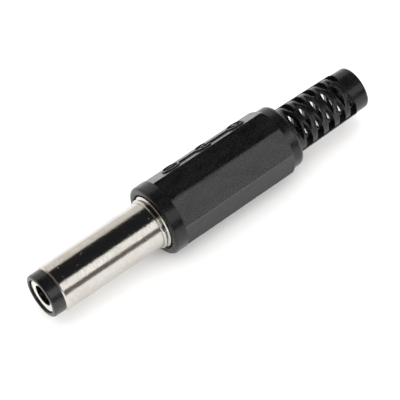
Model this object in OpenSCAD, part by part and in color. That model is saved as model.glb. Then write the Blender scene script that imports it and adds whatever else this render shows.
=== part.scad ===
// DC barrel plug, 5.5 mm outside and 2.5 mm centre hole, with a screw-on
// octagonal cover that ends in a flexible lattice strain relief.
//
// The plug lies along X on its cover: its tip points to -X, its cable end to +X,
// and one flat of the octagon faces down. The origin is the bottom centre of the
// whole plug. Every sub-part is drawn standing on its tip, with the plug's axis
// along Z, and on_axis() lays it down.

/* [Barrel] */
// Outside diameter of the barrel, which the socket's spring touches
barrel_od = 5.5; // [5.3:0.05:5.6]
// Length of the shaft from the tip to the lip
shaft_length = 14.4; // [12:0.1:15]
// Inside diameter of the barrel tube
barrel_id = 3.9; // [3.8:0.05:4.4]
// Diameter of the raised lip
lip_d = 6.04; // [5.9:0.02:6.1]
// Length of the raised lip
lip_length = 0.42; // [0.36:0.02:0.5]
// Diameter of the tube behind the lip, where it is pressed into the body
tail_d = 5; // [4.9:0.05:5.1]

/* [Tip insulator] */
// Outside diameter of the black nose
nose_d = 5.16; // [5:0.02:5.18]
// Length of the black nose in front of the barrel
nose_length = 1.5; // [1.2:0.1:1.8]
// Radius of the nose's front edge
nose_edge = 0.28; // [0.1:0.02:0.3]
// Diameter of the recess that holds the contact's flange
nose_recess_d = 4.1; // [4.02:0.02:4.2]

/* [Centre contact] */
// Diameter of the hole for the socket's centre pin
pin_hole_d = 2.5; // [2.1:0.1:2.5]
// Outside diameter of the contact tube
contact_od = 3.1; // [3:0.05:3.4]
// Diameter of the flange at the contact's mouth
mouth_d = 3.94; // [3.8:0.02:4]
// Depth of the flange's rim below the nose
mouth_depth = 0.22; // [0.1:0.02:0.3]
// Depth of the hole for the centre pin
pin_hole_depth = 12.6; // [9:0.1:12.6]
// Diameter of the contact's rear stem
stem_d = 1.6; // [1.4:0.1:2]

/* [Threaded body] */
// Diameter of the body's flange, which the cover seats against
flange_d = 6.24; // [6.2:0.02:6.3]
// Length of the body's flange
flange_length = 0.7; // [0.6:0.05:0.8]
// Outside diameter of the thread
thread_d = 5.9; // [5.8:0.02:6]
// Length of the body behind its flange
thread_length = 5.2; // [5:0.1:6]

/* [Terminals] */
// Thickness of the terminals' sheet metal
sheet = 0.3; // [0.3:0.05:0.4]
// Length of the sleeve terminal behind the body
sleeve_lug_length = 9.4; // [8:0.2:9.6]
// Width of the sleeve terminal's strap
sleeve_lug_width = 2; // [1.6:0.1:2.2]
// Length of the cable clamp at the end of the strap
clamp_length = 2.6; // [2:0.1:3]
// Inside diameter of the cable clamp
clamp_d = 3.6; // [3.2:0.1:3.8]
// Length of the centre terminal's tab
centre_lug_length = 4.6; // [3:0.2:5]
// Width of the centre terminal's tab
centre_lug_width = 1.8; // [1.5:0.1:2]

/* [Cover] */
// Diameter of the round collar at the cover's mouth
collar_d = 8.3; // [8.2:0.05:8.5]
// Length of the collar
collar_length = 1.6; // [1.4:0.1:2]
// Radius of the collar's front edge
collar_edge = 0.34; // [0.2:0.02:0.4]
// Diameter across the corners of the octagonal grip at its front
grip_front_d = 8.28; // [8.2:0.02:8.28]
// Diameter across the corners of the octagonal grip at its rear
grip_rear_d = 8.12; // [8:0.02:8.2]
// Length of the octagonal grip
grip_length = 15.1; // [14:0.1:16]
// Length of the round collar behind the grip
rear_collar_length = 0.85; // [0.5:0.05:1]
// Inside diameter of the cover around the thread
cover_bore_d = 6.14; // [6.1:0.02:6.2]
// Diameter of the recess at the cover's mouth
cover_mouth_d = 6.6; // [6.4:0.02:6.7]

/* [Strain relief] */
// Diameter of the strain relief at its root
boot_root_d = 5.32; // [5.2:0.02:5.4]
// Diameter of the strain relief at its end
boot_end_d = 5; // [4.9:0.02:5.2]
// Length of the strain relief
boot_length = 9.9; // [9.6:0.1:10.6]
// Diameter of the hole for the cable, through the ring at the end
cable_d = 3.2; // [2.8:0.1:3.4]
// Inside diameter of the strain relief, along its lattice
lattice_id = 3.6; // [3.5:0.1:3.7]
// Number of windows along the middle row of the lattice
window_count = 5; // [3:1:5]
// Distance from one window to the next along the lattice
window_pitch = 1.57; // [1.54:0.01:1.6]
// Length of a window, across the strain relief
window_length = 4.2; // [3.8:0.1:4.4]
// Width of a window, along the strain relief
window_width = 0.9; // [0.8:0.02:0.96]
// Distance from the middle row of windows to the rows at the sides
row_offset = 2.65; // [2.5:0.05:2.8]
// Thickness of the web that divides the two halves of the lattice
web = 0.6; // [0.4:0.1:0.8]
// How far the dividing web stands out of the lattice
web_rise = 0.08; // [0.04:0.02:0.1]

/* [Hidden] */
$fn = 96;

// Radial play between pressed or moulded-in pieces of one assembly
snug = 0.02;
// Axial play between the body's flange and the cover's seat
seat_gap = 0.03;
// Overlap that makes a cut run clear of the face it starts from
over = 1;

barrel_start = nose_length;
lip_start = shaft_length;
body_start = lip_start + lip_length;
flange_end = body_start + flange_length;
body_end = flange_end + thread_length;
ring_end = body_end + sheet;
rivet_length = 0.2;
barrel_end = ring_end + rivet_length;
washer_length = 0.5;
washer_end = barrel_end + washer_length;
centre_ring_end = washer_end + sheet;

mouth_flange_length = 0.38;
contact_shoulder = mouth_depth + mouth_flange_length;
contact_cone = 0.09;
pin_hole_end = mouth_depth + contact_cone + pin_hole_depth;
contact_tube_end = pin_hole_end + 1.2;
stem_head_length = 0.3;
stem_head_d = stem_d + 0.5;

cover_start = shaft_length + 0.6;
collar_end = cover_start + collar_length;
grip_end = collar_end + grip_length;
rear_collar_end = grip_end + rear_collar_length;
rear_collar_d = grip_rear_d * cos(22.5) - 0.06;
shoulder_length = 0.85;
boot_start = rear_collar_end + shoulder_length;
boot_end = boot_start + boot_length;
boot_edge = 0.35;
cavity_d = 6.2;
cavity_start = body_end + 0.6;
cavity_end = grip_end - 0.6;
first_window = boot_start + 0.55;
last_window = first_window + (window_count - 0.5) * window_pitch;
lattice_end = last_window + window_width / 2 + 0.05;
mould_turn = 22.5;

overall_length = boot_end;
axis_height = collar_d / 2;

// Points of an arc, as [radius, height] pairs for a revolved outline
function arc(centre, r, from, to, steps = 8) =
    [for (i = [0:steps]) let (a = from + (to - from) * i / steps)
        centre + r * [cos(a), sin(a)]];

// Lays a piece that stands on the plug's tip down along X
module on_axis() {
    translate([-overall_length / 2, 0, axis_height])
        rotate([0, 90, 0])
            children();
}

// A ring or tube between two heights
module tube(od, id, z0, z1) {
    translate([0, 0, z0])
        difference() {
            cylinder(d = od, h = z1 - z0);
            translate([0, 0, -over])
                cylinder(d = id, h = z1 - z0 + 2 * over);
        }
}

// Turned tube with a chamfered front rim, a raised lip and a narrower tail
module barrel_sleeve() {
    rim = 0.16;
    lip_r = lip_length / 2;
    inner_r = barrel_id / 2;
    tail_r = tail_d / 2;
    tail_edge = 0.08;
    color("gainsboro")
        on_axis()
            rotate_extrude()
                polygon(concat(
                    [[inner_r, barrel_start], [barrel_od / 2 - rim, barrel_start],
                     [barrel_od / 2, barrel_start + rim], [barrel_od / 2, lip_start]],
                    arc([lip_d / 2 - lip_r, lip_start + lip_r], lip_r, -90, 90),
                    [[tail_r, body_start], [tail_r, barrel_end - tail_edge],
                     [tail_r - tail_edge, barrel_end], [inner_r, barrel_end]]));
}

// Black moulding: the nose, and the long tube inside the barrel
module tip_insulator() {
    tube_r = barrel_id / 2 - snug;
    nose_r = nose_d / 2;
    contact_r = contact_od / 2 + snug;
    stem_r = stem_d / 2 + snug;
    recess_lead = 0.06;
    color("#1b1b1c")
        on_axis()
            rotate_extrude()
                polygon(concat(
                    [[nose_recess_d / 2, contact_shoulder], [nose_recess_d / 2, recess_lead],
                     [nose_recess_d / 2 + recess_lead, 0]],
                    arc([nose_r - nose_edge, nose_edge], nose_edge, -90, 0),
                    [[nose_r, nose_length], [tube_r, nose_length], [tube_r, barrel_end],
                     [stem_r, barrel_end], [stem_r, contact_tube_end],
                     [contact_r, contact_tube_end], [contact_r, contact_shoulder]]));
}

// Turned socket with a flanged mouth and a stem that is riveted at the back
module centre_contact() {
    hole_r = pin_hole_d / 2;
    drill_point = hole_r * tan(31);
    rim = 0.05;
    color("silver")
        on_axis()
            rotate_extrude()
                polygon([
                    [hole_r, mouth_depth + contact_cone], [mouth_d / 2 - rim, mouth_depth],
                    [mouth_d / 2, mouth_depth + rim], [mouth_d / 2, contact_shoulder],
                    [contact_od / 2, contact_shoulder], [contact_od / 2, contact_tube_end],
                    [stem_d / 2, contact_tube_end], [stem_d / 2, centre_ring_end],
                    [stem_head_d / 2, centre_ring_end],
                    [stem_d / 2, centre_ring_end + stem_head_length],
                    [0, centre_ring_end + stem_head_length],
                    [0, pin_hole_end + drill_point], [hole_r, pin_hole_end]]);
}

// Ring that is pressed over the barrel's tail and carries the cover's thread
module threaded_body() {
    bore_r = tail_d / 2 + snug;
    face_r = barrel_od / 2 + 0.08;
    flange_r = flange_d / 2;
    thread_r = thread_d / 2;
    bevel = 0.22;
    lead = 0.3;
    color("lightgray")
        on_axis()
            rotate_extrude()
                polygon([
                    [bore_r, body_start], [face_r, body_start],
                    [flange_r, body_start + bevel], [flange_r, flange_end],
                    [thread_r, flange_end], [thread_r, body_end - lead],
                    [thread_r - lead, body_end], [bore_r, body_end]]);
}

// A round-ended strip of sheet with a solder hole near its end
module solder_tab(length, width, hole_d) {
    linear_extrude(sheet)
        difference() {
            union() {
                translate([0, -width / 2])
                    square([length - width / 2, width]);
                translate([length - width / 2, 0])
                    circle(d = width, $fn = 48);
            }
            translate([length - width / 2, 0])
                circle(d = hole_d, $fn = 32);
        }
}

// Stamped terminal of the barrel: ring, strap with a solder hole, cable clamp
module sleeve_lug() {
    ring_od = 5.7;
    hole_r = tail_d / 2 + snug;
    strap_x = 2.4;
    strap_end = body_end + sleeve_lug_length;
    clamp_start = strap_end - clamp_length;
    solder_hole_d = 1.2;
    solder_hole_z = (barrel_end + clamp_start) / 2;
    clamp_angle = 230;
    color("gainsboro")
        on_axis() {
            tube(ring_od, 2 * hole_r, body_end, ring_end);
            difference() {
                translate([strap_x, -sleeve_lug_width / 2, body_end])
                    cube([sheet, sleeve_lug_width, strap_end - body_end]);
                translate([0, 0, body_end - over])
                    cylinder(r = hole_r, h = barrel_end - body_end + over);
                translate([strap_x - over, 0, solder_hole_z])
                    rotate([0, 90, 0])
                        cylinder(d = solder_hole_d, h = sheet + 2 * over, $fn = 32);
            }
            translate([strap_x - clamp_d / 2, 0, clamp_start])
                rotate([0, 0, -clamp_angle / 2])
                    rotate_extrude(angle = clamp_angle)
                        translate([clamp_d / 2, 0])
                            square([sheet, clamp_length]);
        }
}

// Insulating washer between the two terminals
module rear_washer() {
    washer_od = 4.6;
    color("#5a3a22")
        on_axis()
            tube(washer_od, stem_d + 2 * snug, barrel_end, washer_end);
}

// Stamped terminal of the centre contact: ring, bent tab and solder hole
module centre_lug() {
    ring_od = 3.6;
    tab_x = ring_od / 2 - sheet;
    hole_d = 1;
    color("silver")
        on_axis() {
            tube(ring_od, stem_d + 2 * snug, washer_end, centre_ring_end);
            translate([-tab_x, 0, washer_end])
                rotate([0, -90, 0])
                    solder_tab(centre_lug_length, centre_lug_width, hole_d);
        }
}

// Pointed oval window from the parting plane outwards, along the mould's opening way
module window(depth) {
    half_length = window_length / 2;
    half_width = window_width / 2;
    side_r = (half_length * half_length + half_width * half_width) / window_width;
    translate([-depth, 0, 0])
        rotate([0, 90, 0])
            intersection() {
                translate([side_r - half_width, 0, 0])
                    cylinder(r = side_r, h = depth);
                translate([half_width - side_r, 0, 0])
                    cylinder(r = side_r, h = depth);
            }
}

// Staggered rows of windows in each half: one in the middle, one at either side.
// The two halves are staggered too, so a rib lies behind each window.
module windows() {
    depth = boot_root_d / 2 + over;
    step = window_pitch / 2;
    for (half = [0, 1], i = [0:window_count - 1]) {
        z = first_window + i * window_pitch;
        rotate([0, 0, 180 * half]) {
            translate([0, 0, z + half * step])
                window(depth);
            for (side = [-1, 1])
                translate([0, side * row_offset, z + (1 - half) * step])
                    window(depth);
        }
    }
}

// Outline of the tapered strain relief from its root to its end, as points
function boot_points(rise) = concat(
    [[boot_root_d / 2 + rise, boot_start]],
    arc([boot_end_d / 2 + rise - boot_edge, boot_end - boot_edge], boot_edge, 0, 90),
    [[0, boot_end]]);

// Everything turned on the cover's outside, from the mouth to the cable end
module cover_turned() {
    collar_r = collar_d / 2;
    shoulder_r = 0.6;
    blend_r = 0.22;
    rear_r = rear_collar_d / 2;
    root_r = boot_root_d / 2;
    rotate_extrude()
        polygon(concat(
            [[0, cover_start]],
            arc([collar_r - collar_edge, cover_start + collar_edge], collar_edge, -90, 0),
            [[collar_r, collar_end], [rear_r, collar_end]],
            arc([rear_r - shoulder_r, rear_collar_end], shoulder_r, 0, 60),
            arc([root_r + blend_r, boot_start], blend_r, 240, 190, 4),
            boot_points(0)));
}

// Thin web along the mould's parting plane, between the halves of the lattice
module dividing_web() {
    web_start = boot_start - 0.1;
    intersection() {
        rotate_extrude()
            polygon(concat(
                [[0, rear_collar_end], [boot_root_d / 2 + web_rise, rear_collar_end]],
                boot_points(web_rise)));
        translate([-web / 2, -boot_root_d, web_start])
            cube([web, 2 * boot_root_d, lattice_end - web_start]);
    }
}

// Octagonal grip with slight draft, its rear corners rounded off
module grip() {
    corner_r = grip_rear_d / 2;
    cut = 0.5;
    lap = 0.4;
    intersection() {
        translate([0, 0, collar_end - lap])
            rotate([0, 0, 22.5])
                cylinder(d1 = grip_front_d, d2 = grip_rear_d, h = grip_length + lap, $fn = 8);
        rotate_extrude()
            polygon(concat(
                [[0, collar_end - over], [collar_d / 2 + over, collar_end - over],
                 [collar_d / 2 + over, grip_end - 3 * cut]],
                arc([corner_r - cut, grip_end - cut], cut, 15, 75, 4),
                [[0, grip_end]]));
    }
}

// Hollow inside of the cover, from its mouth to the cable hole
module cover_hollow() {
    cable_r = cable_d / 2;
    lattice_r = lattice_id / 2;
    bore_r = cover_bore_d / 2;
    seat = flange_end + seat_gap;
    mouth_lead = 0.12;
    rotate_extrude()
        polygon([
            [0, cover_start - over], [cover_mouth_d / 2 + mouth_lead, cover_start - over],
            [cover_mouth_d / 2 + mouth_lead, cover_start],
            [cover_mouth_d / 2, cover_start + mouth_lead], [cover_mouth_d / 2, seat],
            [bore_r, seat], [bore_r, cavity_start], [cavity_d / 2, cavity_start],
            [cavity_d / 2, cavity_end], [lattice_r, boot_start], [lattice_r, lattice_end],
            [cable_r, lattice_end + lattice_r - cable_r], [cable_r, boot_end + over],
            [0, boot_end + over]]);
}

// One soft moulding: collar, octagonal grip, shoulder and lattice strain relief
module cover() {
    color("#232427")
        on_axis()
            difference() {
                union() {
                    difference() {
                        cover_turned();
                        rotate([0, 0, mould_turn])
                            windows();
                    }
                    rotate([0, 0, mould_turn])
                        dividing_web();
                    grip();
                }
                cover_hollow();
            }
}

barrel_sleeve();
tip_insulator();
centre_contact();
threaded_body();
sleeve_lug();
rear_washer();
centre_lug();
cover();
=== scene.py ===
"""A DC barrel plug on a plain white studio floor.

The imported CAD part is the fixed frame: its eight nodes keep their meshes and get
their finishes here. Two fine pieces are added: the thread of the body, and the raised
polarity sign on one flat of the cover.
Lengths are in metres, in the part's own frame: +X runs from the tip to the cable end
along the plug's axis, and +Z is up.
"""

import math

import bpy
import numpy as np
from mathutils import Matrix, Vector


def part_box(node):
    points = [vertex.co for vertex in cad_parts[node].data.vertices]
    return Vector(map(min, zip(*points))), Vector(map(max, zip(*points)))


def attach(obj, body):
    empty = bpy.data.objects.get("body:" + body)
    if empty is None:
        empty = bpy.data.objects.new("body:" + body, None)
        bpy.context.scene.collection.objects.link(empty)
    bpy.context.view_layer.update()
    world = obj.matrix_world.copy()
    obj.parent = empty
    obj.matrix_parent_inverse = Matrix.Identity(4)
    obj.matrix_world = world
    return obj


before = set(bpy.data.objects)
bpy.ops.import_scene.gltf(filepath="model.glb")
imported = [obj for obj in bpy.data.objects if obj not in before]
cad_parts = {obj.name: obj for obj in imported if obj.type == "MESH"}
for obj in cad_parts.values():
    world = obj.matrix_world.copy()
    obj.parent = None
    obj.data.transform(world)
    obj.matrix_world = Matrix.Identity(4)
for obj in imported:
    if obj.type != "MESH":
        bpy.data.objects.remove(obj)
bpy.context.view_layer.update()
MM = 0.001

# Places along the plug, read from the frame
COVER_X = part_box("cover")[0][0]
BODY_START_X, BODY_END_X = (corner[0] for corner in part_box("threaded_body"))
AXIS_Z = (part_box("barrel_sleeve")[0][2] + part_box("barrel_sleeve")[1][2]) / 2

# The octagonal grip: where its taper starts, inside the collar by the lap, where it ends,
# its radii to the corners, and how far its flats lie from the axis
GRIP_LAP = 0.4 * MM
GRIP_START_X = COVER_X + 1.2 * MM
GRIP_END_X = COVER_X + 16.7 * MM
GRIP_FRONT_RADIUS = 4.14 * MM
GRIP_REAR_RADIUS = 4.06 * MM
HALF_FACET = math.radians(22.5)
GRIP_FRONT_FLAT = GRIP_FRONT_RADIUS * math.cos(HALF_FACET)
GRIP_REAR_FLAT = GRIP_REAR_RADIUS * math.cos(HALF_FACET)

# Radii of the edges that light catches, rounded in the finish
PLATED_EDGE = 0.03 * MM
SHEET_EDGE = 0.04 * MM
INSULATOR_EDGE = 0.04 * MM
COVER_EDGE = 0.1 * MM


def grip_flat_distance(x):
    """Distance from the axis to a flat of the grip, which falls evenly along it."""
    part = (x - GRIP_START_X) / (GRIP_END_X - GRIP_START_X)
    return GRIP_FRONT_FLAT + part * (GRIP_REAR_FLAT - GRIP_FRONT_FLAT)


# ---------------------------------------------------------------- shader nodes


def add_node(tree, kind, values=None, **settings):
    """A new shader node, with its settings and the values of its named inputs."""
    made = tree.nodes.new(kind)
    for name, value in settings.items():
        setattr(made, name, value)
    for name, value in (values or {}).items():
        made.inputs[name].default_value = value
    return made


def new_group(name, outputs):
    """An empty node group and its output node, with float sockets of these names."""
    group = bpy.data.node_groups.new(name, "ShaderNodeTree")
    for socket in outputs:
        group.interface.new_socket(socket, in_out="OUTPUT", socket_type="NodeSocketFloat")
    return group, group.nodes.new("NodeGroupOutput")


def stretched_place(tree, scale):
    """The object's own coordinates times a scale for each axis."""
    place = add_node(tree, "ShaderNodeTexCoord")
    mapping = add_node(tree, "ShaderNodeMapping", {"Scale": scale})
    tree.links.new(place.outputs["Object"], mapping.inputs["Vector"])
    return mapping.outputs["Vector"]


def noise(tree, scale, detail=3.0, roughness=0.55, distortion=0.0):
    """Noise over the object's coordinates, with one scale for each axis."""
    made = add_node(
        tree,
        "ShaderNodeTexNoise",
        {"Scale": 1.0, "Detail": detail, "Roughness": roughness, "Distortion": distortion},
    )
    tree.links.new(stretched_place(tree, scale), made.inputs["Vector"])
    return made.outputs["Fac"]


def remap(tree, value, low, high, to_low, to_high):
    """A value moved from one range to another and kept inside it."""
    made = add_node(
        tree,
        "ShaderNodeMapRange",
        {"From Min": low, "From Max": high, "To Min": to_low, "To Max": to_high},
        interpolation_type="SMOOTHSTEP",
    )
    tree.links.new(value, made.inputs["Value"])
    return made.outputs["Result"]


def combine(tree, operation, first, second):
    """Two values, or a value and a number, joined by an operation such as ADD."""
    made = add_node(tree, "ShaderNodeMath", operation=operation)
    for socket, value in zip(made.inputs, (first, second)):
        if isinstance(value, (int, float)):
            socket.default_value = value
        else:
            tree.links.new(value, socket)
    return made.outputs["Value"]


def turning_marks_group():
    """Fine rings round the X axis, as a lathe leaves, and slow patches of wear."""
    group, out = new_group("turning_marks", ("Rings", "Wear"))
    rings = noise(group, (5200.0, 1600.0, 1600.0), detail=4.0, roughness=0.7)
    wear = noise(group, (420.0, 700.0, 700.0), detail=5.0, roughness=0.62, distortion=0.4)
    group.links.new(rings, out.inputs["Rings"])
    group.links.new(wear, out.inputs["Wear"])
    return group


def pits_group():
    """Small scattered pits: the hearts of a few cells, where a slow noise allows them."""
    group, out = new_group("plating_pits", ("Pits",))
    cells = add_node(group, "ShaderNodeTexVoronoi", {"Scale": 1.0, "Randomness": 1.0})
    place = stretched_place(group, (2600.0, 2600.0, 2600.0))
    group.links.new(place, cells.inputs["Vector"])
    heart = remap(group, cells.outputs["Distance"], 0.06, 0.16, 1.0, 0.0)
    allowed = remap(group, noise(group, (900.0, 900.0, 900.0)), 0.52, 0.62, 0.0, 1.0)
    group.links.new(combine(group, "MULTIPLY", heart, allowed), out.inputs["Pits"])
    return group


def moulded_skin_group():
    """The cover's fine grain, its slow swirls from the mould's flow, and rubbed places."""
    group, out = new_group("moulded_skin", ("Grain", "Flow", "Rub"))
    grain = noise(group, (6500.0, 6500.0, 6500.0), detail=3.0, roughness=0.6)
    bands = add_node(
        group,
        "ShaderNodeTexWave",
        {
            "Scale": 1.0,
            "Distortion": 9.0,
            "Detail": 3.0,
            "Detail Scale": 1.1,
            "Detail Roughness": 0.55,
        },
        wave_type="RINGS",
        rings_direction="SPHERICAL",
    )
    group.links.new(stretched_place(group, (150.0, 330.0, 330.0)), bands.inputs["Vector"])
    rub = noise(group, (260.0, 800.0, 800.0), detail=5.0, roughness=0.6)
    group.links.new(grain, out.inputs["Grain"])
    group.links.new(bands.outputs["Fac"], out.inputs["Flow"])
    group.links.new(rub, out.inputs["Rub"])
    return group


def coarse_lit_flat_group():
    """A mask of the one flat of the grip that has coarser grain and faces the side lamp,
    where a lighter grey is painted as light.

    The flat faces up and to -Y. A place is on it where its distance from the axis along
    the flat's outward direction is nearly the flat's own, and it lies along the grip.
    """
    group, out = new_group("coarse_lit_flat", ("Mask",))
    place = add_node(group, "ShaderNodeTexCoord")
    slope = math.sqrt(0.5)
    outward = add_node(group, "ShaderNodeVectorMath", operation="DOT_PRODUCT")
    outward.inputs[1].default_value = (0.0, -slope, slope)
    group.links.new(place.outputs["Object"], outward.inputs[0])
    flat = AXIS_Z * slope + GRIP_REAR_FLAT
    low, high = flat - 0.13 * MM, flat - 0.04 * MM
    on_plane = remap(group, outward.outputs["Value"], low, high, 0.0, 1.0)
    parts = add_node(group, "ShaderNodeSeparateXYZ")
    group.links.new(place.outputs["Object"], parts.inputs["Vector"])
    first, full = GRIP_START_X + GRIP_LAP, GRIP_START_X + GRIP_LAP + 0.1 * MM
    along = remap(group, parts.outputs["X"], first, full, 0.0, 1.0)
    group.links.new(combine(group, "MULTIPLY", on_plane, along), out.inputs["Mask"])
    return group


def new_finish(name, base, roughness, metallic=0.0, specular=0.5):
    """A material whose one Principled shader holds these constants."""
    material = bpy.data.materials.new(name)
    material.use_nodes = True
    shader = material.node_tree.nodes["Principled BSDF"]
    shader.inputs["Base Color"].default_value = (*base, 1.0)
    shader.inputs["Roughness"].default_value = roughness
    shader.inputs["Metallic"].default_value = metallic
    shader.inputs["Specular IOR Level"].default_value = specular
    return material, material.node_tree, shader


def use_group(tree, group):
    """A node that runs the shared group in this material."""
    made = tree.nodes.new("ShaderNodeGroup")
    made.node_tree = group
    return made


def add_bump(tree, shader, height, distance, edge=None):
    """Bumps of this height, over edges rounded by the radius in edge."""
    bump = add_node(tree, "ShaderNodeBump", {"Strength": 1.0, "Distance": distance})
    tree.links.new(height, bump.inputs["Height"])
    if edge:
        rounded = add_node(tree, "ShaderNodeBevel", {"Radius": edge}, samples=6)
        tree.links.new(rounded.outputs["Normal"], bump.inputs["Normal"])
    tree.links.new(bump.outputs["Normal"], shader.inputs["Normal"])


def tint_by(tree, shader, value, dark, light):
    """Base colour that runs from dark to light with a value."""
    mix = add_node(tree, "ShaderNodeMix", data_type="RGBA")
    mix.inputs["A"].default_value = (*dark, 1.0)
    mix.inputs["B"].default_value = (*light, 1.0)
    tree.links.new(value, mix.inputs["Factor"])
    tree.links.new(mix.outputs["Result"], shader.inputs["Base Color"])


TURNING_MARKS = turning_marks_group()
PLATING_PITS = pits_group()
MOULDED_SKIN = moulded_skin_group()
COARSE_LIT_FLAT = coarse_lit_flat_group()

# How deep a pit is, in times the depth of the rings
PIT_DEPTH = 2.0
# The span of a moulding's unevenness over which its tint and its gloss change
UNEVEN_SPAN = (0.5, 1.4)
# How much the slow flow counts beside the grain in a moulding's bumps
FLOW_IN_BUMPS = 0.35


def plated_metal(name, light, dark, smooth, rough, ring_depth):
    """Nickel over turned brass, darker at its pits, its worn places and in its rings.

    Its gloss is uneven with the wear, and rings and pits make its bumps.
    """
    material, tree, shader = new_finish(name, light, smooth, metallic=1.0)
    marks = use_group(tree, TURNING_MARKS)
    pits = use_group(tree, PLATING_PITS)
    clean = remap(tree, pits.outputs["Pits"], 0.0, 1.0, 1.0, 0.0)
    worn = remap(tree, marks.outputs["Wear"], 0.35, 0.8, 1.0, 0.3)
    streaks = remap(tree, marks.outputs["Rings"], 0.3, 0.6, 0.35, 1.0)
    tone = combine(tree, "MULTIPLY", combine(tree, "MULTIPLY", clean, worn), streaks)
    tint_by(tree, shader, tone, dark, light)
    gloss = remap(tree, marks.outputs["Wear"], 0.35, 0.7, smooth, rough)
    tree.links.new(gloss, shader.inputs["Roughness"])
    pit_height = combine(tree, "MULTIPLY", pits.outputs["Pits"], -PIT_DEPTH)
    height = combine(tree, "ADD", marks.outputs["Rings"], pit_height)
    add_bump(tree, shader, height, ring_depth, edge=PLATED_EDGE)
    return material


def start_moulding(name, dark, smooth, rough, specular):
    """A black moulding with its gloss set, its shared skin, and its unevenness.

    The unevenness is the sum of slow swirls of flow, speckles of grain and rubbed
    places, and the gloss follows it.
    """
    material, tree, shader = new_finish(name, dark, smooth, specular=specular)
    skin = use_group(tree, MOULDED_SKIN)
    swirl = combine(tree, "MULTIPLY", skin.outputs["Flow"], 0.3)
    speckle = remap(tree, skin.outputs["Grain"], 0.35, 0.65, 0.0, 0.6)
    texture = combine(tree, "ADD", swirl, speckle)
    uneven = combine(tree, "ADD", texture, skin.outputs["Rub"])
    gloss = remap(tree, uneven, *UNEVEN_SPAN, smooth, rough)
    tree.links.new(gloss, shader.inputs["Roughness"])
    return material, tree, shader, skin, uneven


def add_skin_bumps(tree, shader, skin, grain, depth, edge):
    """Bumps of a moulding: its grain, with a share of its slow flow."""
    slow = combine(tree, "MULTIPLY", skin.outputs["Flow"], FLOW_IN_BUMPS)
    add_bump(tree, shader, combine(tree, "ADD", grain, slow), depth, edge=edge)


def insulator_plastic(name, dark, light, smooth, rough, grain_depth):
    """The nose's black moulding, whose tint follows its unevenness."""
    material, tree, shader, skin, uneven = start_moulding(name, dark, smooth, rough, 0.5)
    tint_by(tree, shader, remap(tree, uneven, *UNEVEN_SPAN, 0.0, 1.0), dark, light)
    grain = skin.outputs["Grain"]
    add_skin_bumps(tree, shader, skin, grain, grain_depth, INSULATOR_EDGE)
    return material


def cover_plastic(name, dark, lit_flat_grey, smooth, rough, grain_depth):
    """The cover's moulding: near-black and fine, with one coarser flat that faces the side
    lamp and carries a painted lighter grey.
    """
    material, tree, shader, skin, uneven = start_moulding(name, dark, smooth, rough, 0.36)
    mask = use_group(tree, COARSE_LIT_FLAT).outputs["Mask"]
    worn = remap(tree, uneven, *UNEVEN_SPAN, 0.0, 1.0)
    # Painted light: the flat that faces the side lamp gets a lighter grey base colour,
    # scaled by the random wear tone
    painted_lit_grey = combine(tree, "MULTIPLY", mask, combine(tree, "ADD", worn, 0.35))
    faint = combine(tree, "MULTIPLY", worn, 0.15)
    tint_by(tree, shader, combine(tree, "ADD", faint, painted_lit_grey), dark, lit_flat_grey)
    grain_share = combine(tree, "ADD", mask, 0.3)
    grain = combine(tree, "MULTIPLY", skin.outputs["Grain"], grain_share)
    add_skin_bumps(tree, shader, skin, grain, grain_depth, COVER_EDGE)
    return material


def laminate(name):
    """Brown paper laminate of the washer, with fibres that lie across the axis."""
    dark, light = (0.16, 0.08, 0.04), (0.33, 0.19, 0.10)
    material, tree, shader = new_finish(name, dark, 0.6)
    fibres = noise(tree, (1500.0, 9000.0, 2200.0), detail=4.0)
    tint_by(tree, shader, fibres, dark, light)
    add_bump(tree, shader, fibres, 0.01 * MM)
    return material


def tinned_sheet(name):
    """Dull tinned brass sheet, its gloss uneven as dipped tin sets."""
    light, dark = (0.74, 0.74, 0.72), (0.55, 0.55, 0.53)
    material, tree, shader = new_finish(name, light, 0.3, metallic=1.0)
    patches = noise(tree, (700.0, 900.0, 900.0), detail=5.0, distortion=0.6)
    tint_by(tree, shader, patches, dark, light)
    gloss = remap(tree, patches, 0.3, 0.7, 0.24, 0.46)
    tree.links.new(gloss, shader.inputs["Roughness"])
    add_bump(tree, shader, patches, 0.012 * MM, edge=SHEET_EDGE)
    return material


FINISHES = {
    "barrel_sleeve": plated_metal(
        "barrel_nickel",
        light=(0.575, 0.555, 0.525),
        dark=(0.45, 0.425, 0.39),
        smooth=0.1,
        rough=0.16,
        ring_depth=0.022 * MM,
    ),
    "threaded_body": plated_metal(
        "body_nickel",
        light=(0.60, 0.585, 0.555),
        dark=(0.47, 0.45, 0.42),
        smooth=0.11,
        rough=0.18,
        ring_depth=0.014 * MM,
    ),
    "centre_contact": plated_metal(
        "contact_nickel",
        light=(0.76, 0.735, 0.69),
        dark=(0.68, 0.65, 0.60),
        smooth=0.09,
        rough=0.16,
        ring_depth=0.004 * MM,
    ),
    "tip_insulator": insulator_plastic(
        "insulator_black",
        dark=(0.003, 0.003, 0.0033),
        light=(0.006, 0.006, 0.0066),
        smooth=0.2,
        rough=0.32,
        grain_depth=0.004 * MM,
    ),
    "cover": cover_plastic(
        "cover_black",
        dark=(0.0022, 0.0023, 0.0027),
        # The lighter grey painted as light on the flat that faces the side lamp
        lit_flat_grey=(0.021, 0.0215, 0.0235),
        smooth=0.2,
        rough=0.34,
        grain_depth=0.012 * MM,
    ),
    "rear_washer": laminate("washer_laminate"),
    "sleeve_lug": tinned_sheet("sleeve_lug_tin"),
    "centre_lug": tinned_sheet("centre_lug_tin"),
}
for node_name, finish in FINISHES.items():
    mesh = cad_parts[node_name].data
    mesh.materials.clear()
    mesh.materials.append(finish)


# ---------------------------------------------------------------- added pieces

# Edges that turn by more than this stay sharp
SHARP_TURN = math.radians(35)
# Points of the thread's ridge in one turn, and of an arc of the sign
POINTS_PER_TURN = 72
ARC_POINTS = 40

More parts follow.
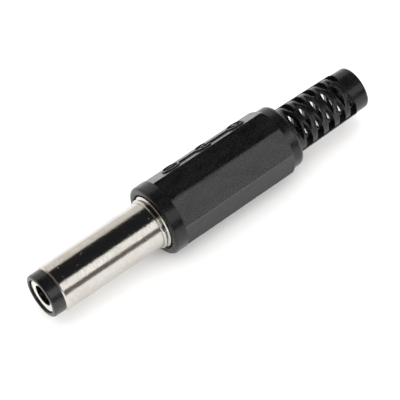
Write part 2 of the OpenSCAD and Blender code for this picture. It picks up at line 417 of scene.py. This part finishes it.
def new_piece(name, points, faces, finish, body):
    """A mesh piece from points and faces, with a finish, that rides on a body."""
    mesh = bpy.data.meshes.new(name)
    mesh.from_pydata([tuple(p) for p in points], [], faces)
    mesh.materials.append(finish)
    mesh.shade_smooth()
    mesh.set_sharp_from_angle(angle=SHARP_TURN)
    piece = bpy.data.objects.new(name, mesh)
    bpy.context.scene.collection.objects.link(piece)
    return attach(piece, body)


def swept(sections, closed=False):
    """Points and faces of a bar, from the ring of points at each place along it.

    Neighbouring rings are joined by quads, and an open bar has a face at each end.
    """
    around = len(sections[0])
    points = [p for ring in sections for p in ring]
    count = len(sections)
    faces = []
    for i in range(count if closed else count - 1):
        near, far = i * around, (i + 1) % count * around
        for j in range(around):
            k = (j + 1) % around
            faces.append((near + j, near + k, far + k, far + j))
    if not closed:
        faces.append(tuple(reversed(range(around))))
        faces.append(tuple((count - 1) * around + j for j in range(around)))
    return points, faces


def body_thread():
    """The helical ridge of the body's thread.

    Its centre runs at angle t round the axis while x grows by the pitch each turn. The
    ridge is a trapezium in section, and its height fades over the first and last turn.
    """
    pitch, root, height = 0.5 * MM, 2.94 * MM, 0.09 * MM
    half_root, half_crest, foot_sunk = 0.2 * MM, 0.05 * MM, 0.02 * MM
    flange_relief, end_relief = 1.1 * MM, 0.5 * MM
    start, end = BODY_START_X + flange_relief, BODY_END_X - end_relief
    turns = (end - start) / pitch
    steps = int(turns * POINTS_PER_TURN)
    sections = []
    for i in range(steps + 1):
        turn = turns * i / steps
        angle = 2 * math.pi * turn
        x = start + pitch * turn
        fade = min(1.0, turn, turns - turn)
        crest = root + height * fade
        foot = root - foot_sunk
        trapezium = (
            (-half_root, foot),
            (half_root, foot),
            (half_crest, crest),
            (-half_crest, crest),
        )
        ring = []
        for dx, radius in trapezium:
            y, z = radius * math.sin(angle), AXIS_Z + radius * math.cos(angle)
            ring.append(Vector((x + dx, y, z)))
        sections.append(ring)
    points, faces = swept(sections)
    return new_piece("body_thread", points, faces, FINISHES["threaded_body"], "plug_core")


# The flat that bears the sign: its turn from straight up towards +Y, and the
# directions out of it and across it
SIGN_TURN = math.radians(45)
SIGN_OUT = Vector((0, math.sin(SIGN_TURN), math.cos(SIGN_TURN)))
SIGN_ACROSS = Vector((0, math.cos(SIGN_TURN), -math.sin(SIGN_TURN)))


def on_flat(along, across, lift):
    """A point on the grip's sign flat, from distances along it, across it and off it."""
    axis = Vector((along, 0, AXIS_Z))
    return axis + SIGN_OUT * (grip_flat_distance(along) + lift) + SIGN_ACROSS * across


def raised_line(path, width, height, closed=False):
    """Points and faces of a ridge on the sign flat, along a path of flat points.

    A flat point is a distance along the grip and a distance across the flat. At each
    place the ridge's ring has a sunk foot on either side, a shoulder and a
    narrower crest, so that it has the soft edges of a moulded mark.
    """
    flat = np.array(path)
    if closed:
        ahead, behind = np.roll(flat, -1, axis=0), np.roll(flat, 1, axis=0)
    else:
        ahead = np.vstack([flat[1:], flat[-1:]])
        behind = np.vstack([flat[:1], flat[:-1]])
    way = ahead - behind
    way /= np.linalg.norm(way, axis=1)[:, None]
    side = np.stack([-way[:, 1], way[:, 0]], axis=1)
    outline = (
        (-0.5, -0.3), (0.5, -0.3), (0.5, 0.55), (0.3, 1.0), (-0.3, 1.0), (-0.5, 0.55),
    )
    sections = [
        [on_flat(*(p + s * width * w), height * h) for w, h in outline]
        for p, s in zip(flat, side)
    ]
    return swept(sections, closed)


def arc_path(centre, radius, start, end):
    """Points of an arc on the flat, both ends included, between angles in degrees."""
    angles = np.linspace(math.radians(start), math.radians(end), ARC_POINTS)
    return [(centre + radius * math.cos(a), radius * math.sin(a)) for a in angles]


def circle_path(centre, radius):
    """Points of a whole circle on the flat, the first of them not repeated."""
    return arc_path(centre, radius, 0, 360 * (ARC_POINTS - 1) / ARC_POINTS)


def polarity_sign():
    """The raised sign for a positive centre: minus ring, arc with a dot, plus ring."""
    width, height = 0.22 * MM, 0.16 * MM
    middle = COVER_X + 9.2 * MM
    spread, ring = 4.4 * MM, 1.0 * MM
    bar, dot = 0.5 * MM, 0.3 * MM
    minus, plus = middle - spread, middle + spread
    lines = [
        (circle_path(minus, ring), True),
        (circle_path(plus, ring), True),
        (arc_path(middle, ring, 50, 310), False),
        (circle_path(middle, dot / 2), True),
        ([(minus - bar, 0.0), (minus + bar, 0.0)], False),
        ([(plus - bar, 0.0), (plus + bar, 0.0)], False),
        ([(plus, -bar), (plus, bar)], False),
        ([(minus + ring, 0.0), (middle - ring, 0.0)], False),
        ([(middle + dot / 2, 0.0), (plus - ring, 0.0)], False),
    ]
    points, faces = [], []
    for path, closed in lines:
        bar_points, bar_faces = raised_line(path, width, height, closed)
        first = len(points)
        points += bar_points
        faces += [tuple(first + i for i in face) for face in bar_faces]
    return new_piece("polarity_sign", points, faces, FINISHES["cover"], "cover")


body_thread()
polarity_sign()


# ---------------------------------------------------------------- studio


def white_floor():
    """A pale matt floor just under the plug, wide enough to fill every view."""
    half, drop = 2.0, 0.01 * MM
    mesh = bpy.data.meshes.new("floor")
    corners = [(-half, -half, 0), (half, -half, 0), (half, half, 0), (-half, half, 0)]
    mesh.from_pydata(corners, [], [(0, 1, 2, 3)])
    floor = bpy.data.objects.new("floor", mesh)
    floor.location.z = -drop
    material, _, _ = new_finish("floor_white", (0.86, 0.86, 0.86), 0.9, specular=0.1)
    mesh.materials.append(material)
    bpy.context.scene.collection.objects.link(floor)


def soft_panel(name, lean, distance, length, width, power, colour, shown=True):
    """A soft rectangular lamp along the plug, turned to face it.

    lean is its angle from overhead towards -Y, in degrees, and power is in watts.
    Mirror-like finishes don't reflect it when shown is false.
    """
    lamp = bpy.data.lights.new(name, "AREA")
    lamp.shape = "RECTANGLE"
    lamp.size, lamp.size_y = length, width
    lamp.energy = power
    lamp.color = colour
    panel = bpy.data.objects.new(name, lamp)
    lean = math.radians(lean)
    panel.location = (0, -distance * math.sin(lean), AXIS_Z + distance * math.cos(lean))
    panel.rotation_euler = (lean, 0, 0)
    panel.visible_glossy = shown
    bpy.context.scene.collection.objects.link(panel)


def studio_world():
    """A dim room, darkest overhead, that the camera sees as white."""
    horizon, overhead = (0.24, 0.215, 0.19, 1), (0.022, 0.022, 0.024, 1)
    white_light = (1, 1, 1, 1)
    world = bpy.data.worlds.new("studio")
    world.use_nodes = True
    bpy.context.scene.world = world
    tree = world.node_tree
    tree.nodes.clear()
    place = add_node(tree, "ShaderNodeTexCoord")
    parts = add_node(tree, "ShaderNodeSeparateXYZ")
    tree.links.new(place.outputs["Generated"], parts.inputs["Vector"])
    height = remap(tree, parts.outputs["Z"], 0.05, 0.85, 0.0, 1.0)
    room = add_node(tree, "ShaderNodeMix", data_type="RGBA")
    room.inputs["A"].default_value = horizon
    room.inputs["B"].default_value = overhead
    tree.links.new(height, room.inputs["Factor"])
    dim = add_node(tree, "ShaderNodeBackground", {"Strength": 1.0})
    tree.links.new(room.outputs["Result"], dim.inputs["Color"])
    white = add_node(tree, "ShaderNodeBackground", {"Color": white_light, "Strength": 1.0})
    rays = add_node(tree, "ShaderNodeLightPath")
    choose = add_node(tree, "ShaderNodeMixShader")
    out = add_node(tree, "ShaderNodeOutputWorld")
    tree.links.new(rays.outputs["Is Camera Ray"], choose.inputs["Fac"])
    tree.links.new(dim.outputs["Background"], choose.inputs[1])
    tree.links.new(white.outputs["Background"], choose.inputs[2])
    tree.links.new(choose.outputs["Shader"], out.inputs["Surface"])


def studio_camera():
    """The camera: where it aims, its direction, distance, roll and lens."""
    aim = Vector((-0.7064, -0.6105, 3.477)) * MM
    azimuth, elevation, roll = (math.radians(d) for d in (34.153, 53.265, -5.368))
    distance = 307.27 * MM
    camera = bpy.data.cameras.new("camera")
    camera.lens = 256.6
    camera.sensor_width = 36.0
    camera.clip_start = 0.01
    turn = (
        Matrix.Rotation(-azimuth, 4, "Z")
        @ Matrix.Rotation(math.pi / 2 - elevation, 4, "X")
        @ Matrix.Rotation(roll, 4, "Z")
    )
    holder = bpy.data.objects.new("camera", camera)
    back = turn.to_3x3() @ Vector((0, 0, 1))
    holder.matrix_world = Matrix.Translation(aim + distance * back) @ turn
    bpy.context.scene.collection.objects.link(holder)
    bpy.context.scene.camera = holder


white_floor()
studio_world()
soft_panel(
    "side_panel", lean=48.5, distance=0.2, length=0.42, width=0.126, power=0.24,
    colour=(1.0, 0.99, 0.97),
)
soft_panel(
    "far_panel", lean=-68, distance=0.22, length=0.42, width=0.16, power=0.19,
    colour=(1.0, 0.98, 0.95),
)
soft_panel(
    "top_light", lean=0, distance=0.5, length=1.5, width=1.5, power=13.0,
    colour=(1.0, 1.0, 1.0), shown=False,
)
studio_camera()
bpy.context.scene.view_settings.view_transform = "Standard"
